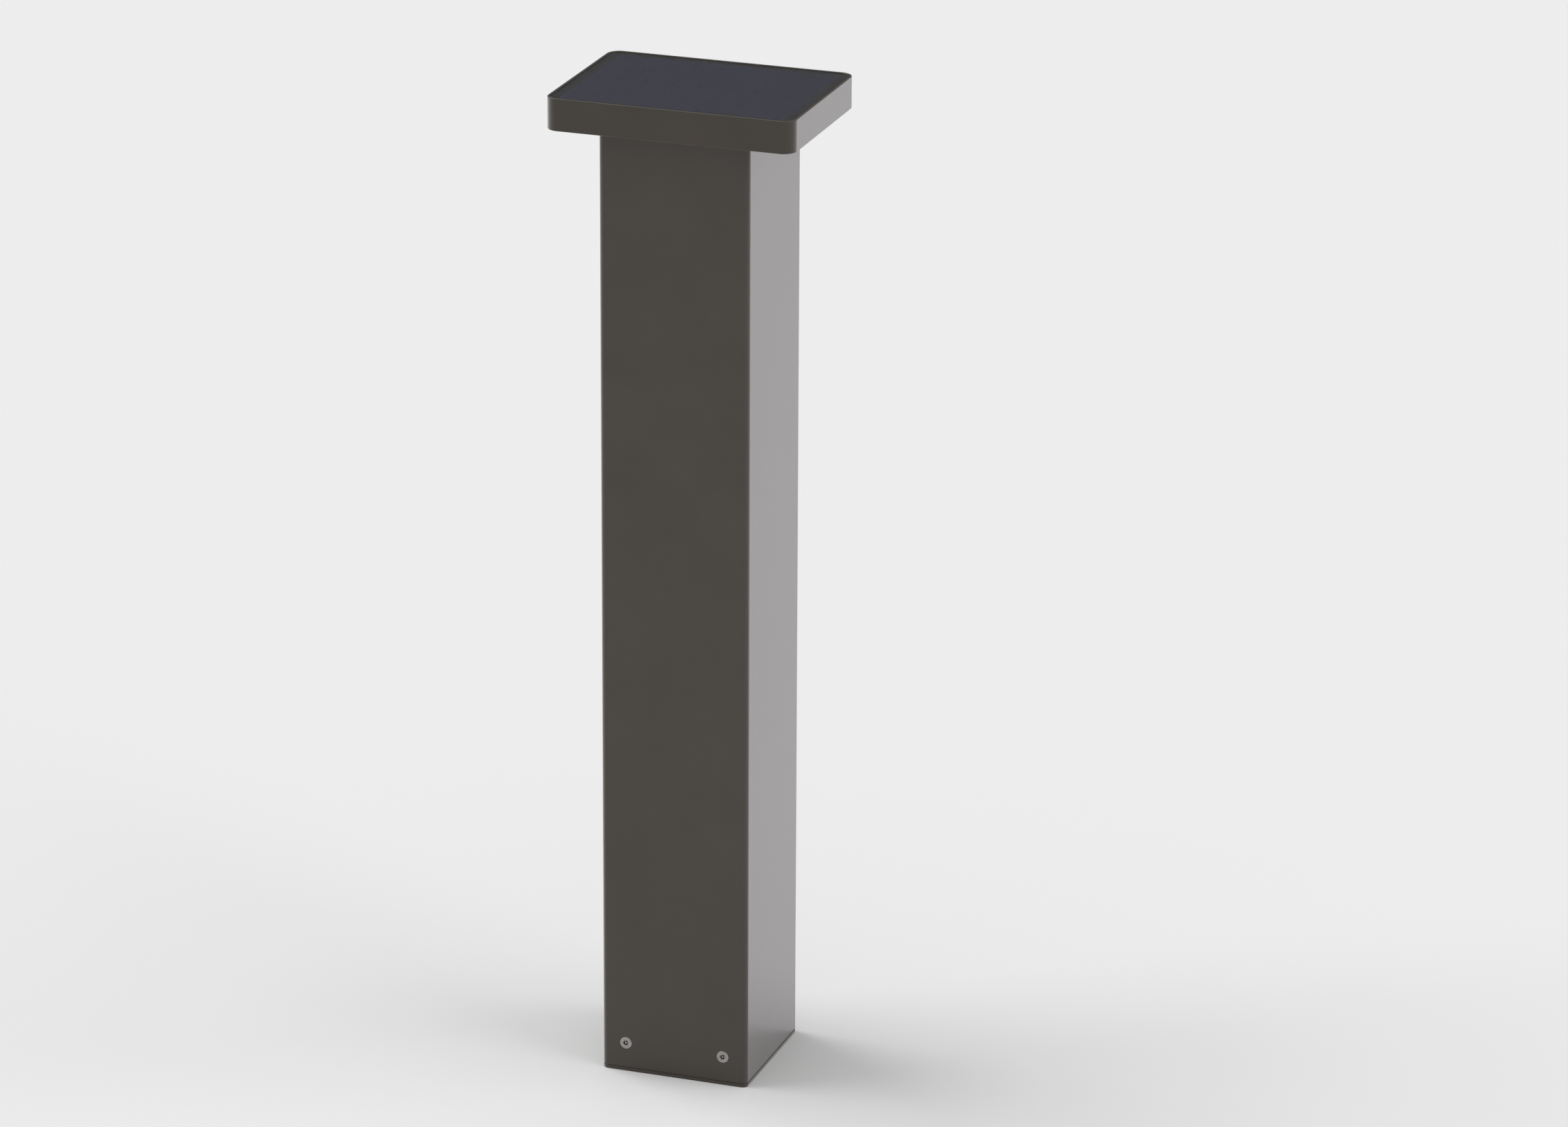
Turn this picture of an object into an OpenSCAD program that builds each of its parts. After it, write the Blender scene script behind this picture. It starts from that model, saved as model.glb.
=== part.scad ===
// Solar bollard light: a square column on a bolted base plate, with a flat head that carries
// a solar panel on top and shines down through two windows in its overhangs.
// Origin: centre of the base plate's underside. +Z is up and -Y is the front.

/* [Overall] */
// Height from the ground to the top of the head's rim
total_h = 1000; // [700:10:1200]
// Width of the square column
col_w = 152; // [152:1:156]
// Outer radius of the column's vertical edges
col_r = 6; // [3:0.5:6.5]
// Wall thickness of the column
col_wall = 4; // [3:0.5:4]

/* [Head] */
// Width of the head, left to right
head_w = 250; // [250:1:280]
// Depth of the head, front to back
head_d = 183; // [183:1:200]
// Thickness of the head
head_h = 32; // [32:1:36]
// Radius of the head's vertical corners
head_r = 13; // [12:0.5:16]
// Thickness of the rim around the panel
rim_w = 2.5; // [2.5:0.5:4]
// Depth of the glass below the top of the rim
glass_drop = 0.6; // [0.5:0.1:2]

/* [Base] */
// Visible thickness of the base plate
plate_t = 3.3; // [3:0.1:5]
// Thickness of the gasket between the plate and the column
base_gasket_t = 0.9; // [0.6:0.1:1.5]
// Distance between neighbouring anchor holes
anchor_pitch = 90; // [80:1:96]
// Diameter of the anchor holes
anchor_d = 11; // [9:0.5:13]

/* [Base screws] */
// Distance between the two screws of one face
base_screw_pitch = 102; // [90:1:104]
// Height of the screws above the ground
base_screw_z = 30; // [26:1:34]
// Diameter of a screw head
base_screw_head_d = 12.4; // [12:0.1:13]

/* [Button] */
// How far the button can be pressed
button_travel = 1.2; // [0.6:0.1:1.2]
// Diameter of the button cap
button_d = 10; // [9:0.5:10]

/* [Hidden] */
$fn = 64;
gap = 0.05;
screw_gap = 0.2;
small_screw_gap = 0.1;
over = 1;
bronze = [0.30, 0.285, 0.26];

// Base plate and plinth
floor_t = 8;
upstand_h = 50;
upstand_wall = 5;
plinth_gap = 0.5;
col_in = col_w - 2 * col_wall;
plinth_w = col_in - 2 * plinth_gap;
port_r = 6;
port_bore_r = 2.5;
port_pos = col_in / 2 - port_r;
port_clear = 1;
boss_w = 14;
boss_t = 10;
drain_d = 8;
post_pos = 50;
post_r = 5;
post_top = 44;
post_bore_z = floor_t + 4;

// Fastener sizes: shank radius, then head radius and head height
m6_r = 3;
m5_r = 2.5;
m5_head_r = 4.75;
m5_head_h = 3.5;
m4_r = 2;
m4_head_r = 3.8;
m4_head_h = 2.6;
m3_r = 1.5;
m3_head_r = 2.75;
m3_head_h = 1.8;
hex_share = 0.85;
tray_screw_l = 12;
lid_screw_l = 20;
clamp_screw_l = 14;
head_screw_l = 20;
ctrl_screw_l = 7;
spreader_screw_l = 11;

// Base screws, with a six-lobe socket around a pin
base_screw_l = 16;
countersink_gap = 0.4;
head_land = 0.25;
socket_r = 2.75;
socket_depth = 2.6;
socket_lobes = 6;
flute_r = 0.85;
flute_pos = 3.1;
socket_pin_r = 0.95;
socket_pin_drop = 0.15;

// Column
col_bottom = plate_t + base_gasket_t;
head_bottom = total_h - head_h;
head_gasket_t = 0.6;
col_top = head_bottom - head_gasket_t;
gasket_inset = 0.4;

// Battery and its carrier
tray_t = 2;
tray_w = 80;
tray_tab_w = 24;
tray_reach = 58;
tray_top = post_top + tray_t;
case_w = 76;
case_wall = 2;
case_r = 4;
case_top = tray_top + 82;
cell_r = 16.1;
cell_h = 70.5;
cell_cap_r = 5;
cell_cap_t = 1;
cell_pos = 17.5;
link_t = 0.2;
link_w = 14;
cell_bottom = tray_top + case_wall + link_t;
case_screw_pos = 32.5;
case_boss_r = 3.5;
case_boss_reach = 4;
case_bore = 14;
lid_boss_r = 3.4;
board_t = 1.6;
bms_z = tray_top + 75;
bms_w = 70;
bms_chip = [8, 10, 2];
bms_chip_pitch = 14;
bms_chip_y = -22;
lid_t = 3;
lid_top = case_top + lid_t;
strap_w = 20;
strap_t = 1.5;
strap_foot_gap = 2;

// Battery cable
cable_r = 3;
cable_y = 26;
cable_bend = 10;
cable_tail = 6;
gland_r = 6;
gland_hex_r = 9;
gland_hex_h = 4;
gland_dome_r = 7.2;
gland_dome_h = 8;
gland_tip_r = 4.6;
gland_tip_h = 4;

// Plug and socket: shells of two radii, each with a collar and a nose that grips the cable
plug_z = 204;
shell_r = 7;
shell_h = 20;
socket_collar_r = 8;
plug_collar_r = 8.8;
collar_h = 12;
ring_h = 8;
nose_r = 5;
nose_h = 6;
cable_entry = 2;

// Head housing
floor_h = 3;
ledge_w = 3;
head_floor = head_bottom + floor_h;
glass_t = 3.2;
cell_t = 0.4;
sheet_t = 0.6;
seal_t = 1;
seal_gap = 0.35;
bead_drop = 0.15;
glass_top = total_h - glass_drop;
glass_bottom = glass_top - glass_t;
sheet_bottom = glass_bottom - cell_t - sheet_t;
ledge_z = sheet_bottom - seal_t;
pocket_w = head_w - 2 * rim_w;
pocket_d = head_d - 2 * rim_w;
pocket_r = head_r - rim_w;
cavity_w = pocket_w - 2 * ledge_w;
cavity_d = pocket_d - 2 * ledge_w;
cavity_r = pocket_r - 2;
glass_w = pocket_w - 2 * seal_gap;
glass_d = pocket_d - 2 * seal_gap;
glass_r = pocket_r - seal_gap;
rib_x = 54;
rib_t = 3;
rib_h = 19;
rib_notch = 12;
rib_notch_z = 4;
grommet_r = 8;
grommet_lip_r = 9.5;
grommet_lip_t = 3;

// Solar cells
cell_border_x = 8.85;
cell_border_y = 6.25;
cell_area_w = glass_w - 2 * cell_border_x;
cell_area_d = glass_d - 2 * cell_border_y;
cell_cols = 8;
cell_rows = 2;
cell_gap = 0.4;
sheet_inset = 0.3;
junction_y = 45;
junction_w = 40;
junction_d = 24;
junction_h = 12;
junction_r = 3;
lead_drop = 9;

// Light windows in the overhangs
window_x = 98;
window_w = 26;
window_l = 92;
window_r = 4;
lens_gap = 0.3;
lens_drop = 0.4;
flange_w = 36;
flange_l = 102;
flange_t = 2.5;
lens_gasket_t = 0.6;
spreader_l = 126;
spreader_t = 3;
spreader_z = head_floor + 10;
spreader_boss_y = 58;
spreader_boss_r = 5;
spreader_r = 3;
led_count = 8;
led_pitch = 11.5;
led_size = 3.5;
led_t = 0.7;
led_board_w = 22;
led_board_l = 98;
led_board_r = 2;
optic_strip_w = 18;
optic_strip_l = 96;
optic_t = 1;
optic_h = 2.8;
optic_r1 = 2.6;
optic_r2 = 4.5;

// Controller board
ctrl_w = 90;
ctrl_d = 60;
ctrl_y = -22;
ctrl_z = head_floor + 6;
ctrl_top = ctrl_z + board_t;
ctrl_hole_x = 40;
ctrl_hole_y = 25;
ctrl_boss_r = 3.5;
ctrl_r = 2;
capacitor_r = 4;
capacitor_h = 9;
capacitor_x = -10;
capacitor_y = -18;
capacitor_pitch = 12;
cable_plug = [18, 10, 10];
cable_plug_y = 25;
small_plug = [10, 6, 8];
small_plug_x = 16;
small_plug_y = 23;
lamp_plug = [8, 12, 4];
lamp_plug_x = 40;
chip = [10, 10, 1.6];
chip_x = -12;
coil = [13, 13, 6];
coil_x = 20;
coil_y = -6;

// Leads: lead_z is the height of the lamps' leads, entry_y and entry_z where the others plug in
lead_r = 0.75;
lead_pitch = 4;
lead_run = 12;
lead_slope = 5;
lead_turn = 7;
lead_spread = 3;
wire_sides = 8;
corner_share = 0.25;
lead_z = ctrl_top + 1.6;
entry_y = ctrl_y + small_plug_y + small_plug.y / 2;
entry_z = ctrl_top + 6;

// Vent and button under the head, near its back corners
under_x = 98;
under_y = 74;
under_boss_r = 9;
under_boss_h = 6;
under_seal_t = 0.8;
bezel_t = 1.6;
bezel_r = 8.5;
seal_inset = 0.5;
vent_r = 6;
vent_hex_r = 8.8;
vent_round_r = 8.3;
vent_seal_r = 7.2;
vent_chamber_r = 5.2;
vent_slot_l = 1.6;
vent_slot_w = 1.2;
vent_slot_pos = 3.2;
membrane_t = 0.3;
barrel_r = 7;
barrel_in_r = 6.2;
button_fit = 0.08;
lip_t = 1.4;
shoulder_t = 1.75;
shoulder_gap = 0.3;
bezel_z = head_bottom - under_seal_t - bezel_t;
barrel_top = head_floor + 8;
switch_t = 2;
switch_z = barrel_top - switch_t;
plunger_r = 1.4;
plunger_h = 3.2;
terminal_y = 3;
terminal_t = 1;
terminal_w = 2.5;
terminal_h = 4;
lip_top = bezel_z + lip_t;
cap_shoulder_z = lip_top + gap;
cap_top = cap_shoulder_z + shoulder_t;
guide_r = 1.5;
guide_h = 2.2;
dish_r = 40;
dish_depth = 0.25;
nut_r = 10.9;
nut_h = 4;
spring_turns = 4;
spring_mean_r = 4.2;
spring_wire_r = 0.3;
spring_steps = 14;
spring_sides = 6;

// ---- Shared shapes ----

module rounded_rect(w, d, r) {
    square([w - 2 * r, d], center = true);
    square([w, d - 2 * r], center = true);
    for (x = [-1, 1], y = [-1, 1])
        translate([x * (w / 2 - r), y * (d / 2 - r)])
            circle(r = r);
}

module slab(w, d, r, z, t) {
    translate([0, 0, z])
        linear_extrude(height = t)
            rounded_rect(w, d, r);
}

// Copies its children to the four corners of a rectangle
module at_corners(x, y) {
    for (sx = [-1, 1], sy = [-1, 1])
        translate([sx * x, sy * y, 0])
            children();
}

module drill(r, z, h) {
    translate([0, 0, z])
        cylinder(r = r, h = h);
}

// A pan-head screw whose head stands on z = seat, with its shank below
module pan_screw(shank_r, head_r, head_h, length, seat) {
    difference() {
        union() {
            drill(head_r, seat, head_h);
            drill(shank_r, seat - length, length + gap);
        }
        translate([0, 0, seat + head_h / 2])
            cylinder(r = shank_r * hex_share, h = head_h, $fn = 6);
    }
}

function unit(v) = v / norm(v);

// The way a path runs at point i, which at a bend is halfway between its two stretches
function path_way(path, i) =
    let (
        last = len(path) - 1,
        before = i == 0 ? [0, 0, 0] : unit(path[i] - path[i - 1]),
        after = i == last ? [0, 0, 0] : unit(path[i + 1] - path[i])
    )
    unit(before + after);

// The polygon around point i of a wire; side is a direction that the path never takes
function wire_ring(path, i, side) =
    let (
        way = path_way(path, i),
        across = unit(cross(side, way)),
        up = cross(across, way)
    )
    [for (k = [0 : wire_sides - 1])
        let (a = 360 * k / wire_sides)
        path[i] + lead_r * (cos(a) * across + sin(a) * up)];

// Cuts every corner of a path, which makes its bends rounder
function rounder(path) = [
    path[0],
    for (i = [0 : len(path) - 2])
        each [
            path[i] + corner_share * (path[i + 1] - path[i]),
            path[i + 1] + corner_share * (path[i] - path[i + 1])
        ],
    path[len(path) - 1]
];

// The faces of a tube whose points are given ring by ring
function tube_faces(rings, sides) = concat(
    [for (i = [0 : rings - 2], k = [0 : sides - 1])
        let (
            a = i * sides,
            next = (k + 1) % sides
        )
        [a + k, a + sides + k, a + sides + next, a + next]],
    [[for (k = [0 : sides - 1]) k]],
    [[for (k = [sides - 1 : -1 : 0]) (rings - 1) * sides + k]]
);

// A thin round wire that follows a path, with its bends rounded
module wire(path, side) {
    way = rounder(rounder(path));
    polyhedron(
        points = [for (i = [0 : len(way) - 1]) each wire_ring(way, i, side)],
        faces = tube_faces(len(way), wire_sides)
    );
}

// ---- Base ----

// The plinth that fills the tube, less the four corners where the tube's screw ports run
module plinth_outline(extra = 0) {
    corner = port_r * 2 + port_clear - extra;
    difference() {
        square(plinth_w + 2 * extra, center = true);
        for (sx = [-1, 1], sy = [-1, 1])
            translate([sx * col_in / 2, sy * col_in / 2])
                square(corner * 2, center = true);
    }
}

module upstand() {
    inner = plinth_w - 2 * upstand_wall;
    linear_extrude(height = upstand_h)
        difference() {
            plinth_outline();
            square(inner, center = true);
        }
    for (sx = [-1, 1], sy = [-1, 1])
        translate([sx * base_screw_pitch / 2, sy * (plinth_w - boss_t) / 2, upstand_h / 2])
            cube([boss_w, boss_t, upstand_h], center = true);
}

module at_posts() {
    for (a = [0 : 90 : 270])
        rotate(a)
            translate([post_pos, 0, 0])
                children();
}

// Places its children on the front or back face at a base screw, with +Z pointing outwards
module at_base_screws(side) {
    for (sx = [-1, 1])
        translate([sx * base_screw_pitch / 2, side * col_w / 2, base_screw_z])
            rotate([-side * 90, 0, 0])
                children();
}

module base_plate() {
    color(bronze)
        difference() {
            union() {
                slab(col_w, col_w, col_r, 0, plate_t);
                linear_extrude(height = floor_t)
                    plinth_outline();
                upstand();
                at_posts()
                    cylinder(r = post_r, h = post_top);
            }
            at_corners(anchor_pitch / 2, anchor_pitch / 2)
                drill(anchor_d / 2, -over, floor_t + 2 * over);
            drill(drain_d / 2, -over, floor_t + 2 * over);
            at_posts()
                drill(m4_r + gap, post_bore_z, post_top);
            for (side = [-1, 1])
                at_base_screws(side)
                    drill(m6_r + gap, -base_screw_l - over, base_screw_l);
        }
}

module base_gasket() {
    color([0.10, 0.09, 0.08])
        translate([0, 0, plate_t])
            linear_extrude(height = base_gasket_t)
                difference() {
                    rounded_rect(col_w - 2 * gasket_inset, col_w - 2 * gasket_inset,
                        col_r - gasket_inset);
                    plinth_outline(plinth_gap / 2);
                }
}

module socket_outline() {
    difference() {
        circle(r = socket_r);
        for (i = [0 : socket_lobes - 1])
            rotate((i + 0.5) * 360 / socket_lobes)
                translate([flute_pos, 0])
                    circle(r = flute_r);
    }
}

// A countersunk security screw: its face is at z = 0 and its shank runs down -Z
module security_screw() {
    head_r_out = base_screw_head_d / 2;
    cone_h = head_r_out - m6_r;
    difference() {
        union() {
            drill(head_r_out, -head_land, head_land);
            translate([0, 0, -head_land - cone_h])
                cylinder(r1 = m6_r, r2 = head_r_out, h = cone_h);
            drill(m6_r, -base_screw_l, base_screw_l - head_land - cone_h + gap);
        }
        translate([0, 0, -socket_depth])
            linear_extrude(height = socket_depth + over)
                socket_outline();
    }
    drill(socket_pin_r, -socket_depth - gap, socket_depth + gap - socket_pin_drop);
}

module base_screws_front() {
    color("silver")
        at_base_screws(-1)
            security_screw();
}

module base_screws_rear() {
    color("silver")
        at_base_screws(1)
            security_screw();
}

// ---- Column ----

// Round bosses at the four corners of a square, each filled as far as the walls behind it
module corner_bosses(pos, r, reach) {
    for (sx = [0, 1], sy = [0, 1])
        mirror([sx, 0])
            mirror([0, sy])
                translate([pos, pos]) {
                    circle(r = r);
                    translate([0, -r])
                        square([reach, r + reach]);
                    translate([-r, 0])
                        square([r + reach, reach]);
                }
}

module column_void() {
    difference() {
        square(col_in, center = true);
        corner_bosses(port_pos, port_r, port_r);
    }
}

module countersink() {
    mouth_r = base_screw_head_d / 2 + countersink_gap;
    throat_r = m6_r + countersink_gap;
    depth = mouth_r - throat_r;
    translate([0, 0, -depth])
        cylinder(r1 = throat_r, r2 = mouth_r, h = depth);
    drill(mouth_r, 0, over);
    drill(throat_r, -col_wall - over, col_wall + over);
}

module column_tube() {
    color(bronze)
        difference() {
            translate([0, 0, col_bottom])
                linear_extrude(height = col_top - col_bottom)
                    difference() {
                        rounded_rect(col_w, col_w, col_r);
                        column_void();
                        for (sx = [-1, 1], sy = [-1, 1])
                            translate([sx * port_pos, sy * port_pos])
                                circle(r = port_bore_r);
                    }
            for (side = [-1, 1])
                at_base_screws(side)
                    countersink();
        }
}

// ---- Battery and its carrier, standing on the base plate ----

module gear_tray() {
    color("lightslategray")
        difference() {
            translate([0, 0, post_top])
                linear_extrude(height = tray_t) {
                    rounded_rect(tray_w, tray_w, case_r);
                    rounded_rect(2 * tray_reach, tray_tab_w, case_r);
                    rounded_rect(tray_tab_w, 2 * tray_reach, case_r);
                }
            at_posts()
                drill(m4_r + screw_gap, post_top - over, tray_t + 2 * over);
        }
}

module tray_screws() {
    color("silver")
        for (sy = [-1, 1])
            translate([0, sy * post_pos, 0])
                pan_screw(m4_r, m4_head_r, m4_head_h, tray_screw_l, tray_top);
}

module battery_case() {
    inner_w = case_w - 2 * case_wall;
    color("dimgray") {
        difference() {
            slab(case_w, case_w, case_r, tray_top, case_top - tray_top);
            slab(inner_w, inner_w, case_r - case_wall, tray_top + case_wall, case_top);
        }
        difference() {
            translate([0, 0, tray_top])
                linear_extrude(height = bms_z - tray_top)
                    corner_bosses(case_screw_pos, case_boss_r, case_boss_reach);
            at_corners(case_screw_pos, case_screw_pos)
                drill(m3_r + gap, bms_z - case_bore, case_bore + over);
        }
    }
}

module battery_cells() {
    color("steelblue")
        at_corners(cell_pos, cell_pos) {
            drill(cell_r, cell_bottom, cell_h - cell_cap_t);
            drill(cell_cap_r, cell_bottom, cell_h);
        }
}

module cell_links() {
    color("gainsboro") {
        for (sx = [-1, 1])
            translate([sx * cell_pos - link_w / 2, -cell_pos - link_w / 2, cell_bottom - link_t])
                cube([link_w, 2 * cell_pos + link_w, link_t]);
        for (sy = [-1, 1])
            translate([-cell_pos - link_w / 2, sy * cell_pos - link_w / 2, cell_bottom + cell_h])
                cube([2 * cell_pos + link_w, link_w, link_t]);
    }
}

module protection_board() {
    color("darkgreen")
        difference() {
            slab(bms_w, bms_w, case_r - case_wall, bms_z, board_t);
            at_corners(case_screw_pos, case_screw_pos)
                drill(m3_r + small_screw_gap, bms_z - over, board_t + 2 * over);
        }
    color("black")
        for (i = [-1 : 1])
            translate([i * bms_chip_pitch - bms_chip.x / 2, bms_chip_y, bms_z + board_t])
                cube(bms_chip);
}

module battery_lid() {
    color("dimgray")
        difference() {
            union() {
                slab(case_w, case_w, case_r, case_top, lid_t);
                at_corners(case_screw_pos, case_screw_pos)
                    drill(lid_boss_r, bms_z + board_t, lid_top - bms_z - board_t);
            }
            at_corners(case_screw_pos, case_screw_pos)
                drill(m3_r + small_screw_gap, bms_z, lid_top);
            translate([0, cable_y, 0])
                drill(gland_r + gap, case_top - over, lid_t + 2 * over);
        }
}

module lid_screws() {
    color("silver")
        at_corners(case_screw_pos, case_screw_pos)
            pan_screw(m3_r, m3_head_r, m3_head_h, lid_screw_l, lid_top);
}

module battery_clamp() {
    leg = case_w / 2 + gap;
    top = lid_top + gap;
    color("lightslategray")
        difference() {
            union() {
                translate([-leg - strap_t, -strap_w / 2, top])
                    cube([2 * (leg + strap_t), strap_w, strap_t]);
                for (sx = [0, 1])
                    mirror([sx, 0, 0]) {
                        translate([leg, -strap_w / 2, tray_top])
                            cube([strap_t, strap_w, top + strap_t - tray_top]);
                        translate([leg, -strap_w / 2, tray_top])
                            cube([tray_reach - leg - strap_foot_gap, strap_w, strap_t]);
                    }
            }
            for (sx = [-1, 1])
                translate([sx * post_pos, 0, 0])
                    drill(m4_r + screw_gap, tray_top - over, strap_t + 2 * over);
        }
}

module clamp_screws() {
    color("silver")
        for (sx = [-1, 1])
            translate([sx * post_pos, 0, 0])
                pan_screw(m4_r, m4_head_r, m4_head_h, clamp_screw_l, tray_top + strap_t);
}

module battery_gland() {
    dome_z = lid_top + gland_hex_h;
    tip_z = dome_z + gland_dome_h;
    color("black")
        translate([0, cable_y, 0])
            difference() {
                union() {
                    drill(gland_r, case_top - over, lid_t + over);
                    translate([0, 0, lid_top])
                        cylinder(r = gland_hex_r, h = gland_hex_h, $fn = 6);
                    drill(gland_dome_r, dome_z, gland_dome_h);
                    translate([0, 0, tip_z])
                        cylinder(r1 = gland_dome_r, r2 = gland_tip_r, h = gland_tip_h);
                }
                drill(cable_r + gap, case_top - 2 * over, tip_z + gland_tip_h);
            }
}

module battery_cable() {
    start = bms_z + board_t;
    color("black")
        translate([0, cable_y, 0])
            drill(cable_r, start, plug_z - shell_h + cable_entry - start);
}

module connector_socket() {
    color("black")
        translate([0, cable_y, 0])
            difference() {
                union() {
                    drill(nose_r, plug_z - shell_h - nose_h, nose_h);
                    drill(shell_r, plug_z - shell_h, shell_h);
                    drill(socket_collar_r, plug_z - collar_h, ring_h);
                }
                drill(cable_r + gap, plug_z - shell_h - nose_h - over, nose_h + over + cable_entry);
            }
}

module connector_plug() {
    nose_z = plug_z + 2 * collar_h;
    color("black")
        translate([0, cable_y, 0])
            difference() {
                union() {
                    drill(plug_collar_r, plug_z, collar_h);
                    drill(shell_r, plug_z + collar_h, collar_h);
                    drill(nose_r, nose_z, nose_h);
                }
                drill(cable_r + gap, nose_z - cable_entry, nose_h + cable_entry + over);
            }
}

module column_cable() {
    start = plug_z + 2 * collar_h - cable_entry;
    bend_z = head_floor + cable_tail;
    color("black")
        translate([0, cable_y, 0]) {
            drill(cable_r, start, bend_z - start);
            translate([0, -cable_bend, bend_z])
                rotate([90, 0, 90])
                    rotate_extrude(angle = 90)
                        translate([cable_bend, 0])
                            circle(r = cable_r);
            translate([0, -cable_bend, bend_z + cable_bend])
                rotate([90, 0, 0])
                    cylinder(r = cable_r, h = cable_tail);
        }
}

// ---- Head ----

module head_gasket() {
    color([0.10, 0.09, 0.08])
        translate([0, 0, col_top])
            linear_extrude(height = head_gasket_t)
                difference() {
                    rounded_rect(col_w - 2 * gasket_inset, col_w - 2 * gasket_inset,
                        col_r - gasket_inset);
                    column_void();
                    for (sx = [-1, 1], sy = [-1, 1])
                        translate([sx * port_pos, sy * port_pos])
                            circle(r = m5_r + screw_gap);
                }
}

module head_screws() {
    color("silver")
        at_corners(port_pos, port_pos)
            pan_screw(m5_r - gap, m5_head_r, m5_head_h, head_screw_l, head_floor);
}

module head_ribs() {
    for (sx = [-1, 1])
        translate([sx * rib_x - rib_t / 2, -cavity_d / 2, head_floor])
            difference() {
                cube([rib_t, cavity_d, rib_h]);
                translate([-over, cavity_d / 2 + ctrl_y - rib_notch / 2, rib_notch_z])
                    cube([rib_t + 2 * over, rib_notch, rib_h]);
                translate([-over, cavity_d / 2 + junction_y, rib_notch_z])
                    cube([rib_t + 2 * over, rib_notch, rib_h]);
            }
}

module head_bosses() {
    for (sx = [-1, 1], sy = [-1, 1])
        translate([sx * window_x, sy * spreader_boss_y, 0])
            drill(spreader_boss_r, head_bottom, spreader_z - head_bottom);
    at_controller_holes()
        drill(ctrl_boss_r, head_bottom, ctrl_z - head_bottom);
    translate([under_x, under_y, 0])
        drill(under_boss_r, head_bottom, floor_h + under_boss_h);
}

module at_controller_holes() {
    translate([0, ctrl_y, 0])
        at_corners(ctrl_hole_x, ctrl_hole_y)
            children();
}

module head_housing() {
    color(bronze)
        difference() {
            union() {
                difference() {
                    slab(head_w, head_d, head_r, head_bottom, head_h);
                    slab(cavity_w, cavity_d, cavity_r, head_floor, head_h);
                    slab(pocket_w, pocket_d, pocket_r, ledge_z, head_h);
                }
                head_ribs();
                head_bosses();
            }
            for (sx = [-1, 1])
                translate([sx * window_x, 0, 0])
                    slab(window_w, window_l, window_r, head_bottom - over, floor_h + 2 * over);
            at_corners(port_pos, port_pos)
                drill(m5_r + screw_gap, head_bottom - over, floor_h + 2 * over);
            at_corners(window_x, spreader_boss_y)
                drill(m4_r + gap, head_floor + over, head_h);
            at_controller_holes()
                drill(m3_r + gap, head_floor, head_h);
            translate([0, cable_y, 0])
                drill(grommet_r, head_bottom - over, floor_h + 2 * over);
            translate([under_x, under_y, 0])
                drill(vent_r + gap, head_bottom - over, head_h);
            translate([-under_x, under_y, 0])
                drill(barrel_r + 2 * gap, head_bottom - over, head_h);
        }
}

module cable_grommet() {
    low = head_bottom - grommet_lip_t;
    high = head_floor + grommet_lip_t;
    color("black")
        translate([0, cable_y, 0])
            difference() {
                union() {
                    drill(grommet_lip_r, low, grommet_lip_t);
                    drill(grommet_r - gap, head_bottom - gap, floor_h + 2 * gap);
                    drill(grommet_lip_r, head_floor, grommet_lip_t);
                }
                drill(cable_r + gap, low - over, high - low + 2 * over);
            }
}

module pv_glass() {
    color([0.20, 0.20, 0.24, 0.5])
        slab(glass_w, glass_d, glass_r, glass_bottom, glass_t);
}

module pv_cells() {
    pitch_x = cell_area_w / cell_cols;
    pitch_y = cell_area_d / cell_rows;
    color("midnightblue")
        for (i = [0 : cell_cols - 1], j = [0 : cell_rows - 1])
            translate([
                (i - (cell_cols - 1) / 2) * pitch_x,
                (j - (cell_rows - 1) / 2) * pitch_y,
                glass_bottom - cell_t / 2
            ])
                cube([pitch_x - cell_gap, pitch_y - cell_gap, cell_t], center = true);
}

module pv_backsheet() {
    color([0.05, 0.05, 0.05])
        difference() {
            slab(glass_w - 2 * sheet_inset, glass_d - 2 * sheet_inset, glass_r - sheet_inset,
                sheet_bottom, cell_t + sheet_t);
            translate([0, 0, glass_bottom])
                cube([cell_area_w, cell_area_d, 2 * cell_t], center = true);
        }
}

module pv_junction() {
    color("black")
        translate([0, junction_y, 0])
            slab(junction_w, junction_d, junction_r, sheet_bottom - junction_h, junction_h);
}

// A channel of rubber that the panel sits in, nearly flush with the glass
module panel_seal() {
    color([0.08, 0.07, 0.06])
        difference() {
            slab(pocket_w - 2 * gap, pocket_d - 2 * gap, pocket_r - gap,
                ledge_z, glass_top - bead_drop - ledge_z);
            slab(cavity_w, cavity_d, cavity_r, ledge_z - over, seal_t + 2 * over);
            slab(glass_w, glass_d, glass_r, sheet_bottom, head_h);
        }
}

// Two leads side by side, from the junction box down to the board's panel connector
module panel_leads() {
    exit_y = junction_y - junction_d / 2;
    exit_z = glass_bottom - lead_drop;
    color("black")
        for (side = [-1, 1])
            let (x = small_plug_x + side * lead_pitch / 2)
                wire([
                    [x, exit_y - gap, exit_z],
                    [x, exit_y - lead_run, exit_z],
                    [x, exit_y - lead_run - lead_slope, entry_z],
                    [x, entry_y, entry_z]
                ], [1, 0, 0]);
}

// ---- Controller ----

module controller_board() {
    color("darkgreen")
        difference() {
            translate([0, ctrl_y, 0])
                slab(ctrl_w, ctrl_d, ctrl_r, ctrl_z, board_t);
            at_controller_holes()
                drill(m3_r + small_screw_gap, ctrl_z - over, board_t + 2 * over);
        }
}

module board_block(x, y, size) {
    translate([x - size.x / 2, ctrl_y + y - size.y / 2, ctrl_top])
        cube(size);
}

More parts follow.
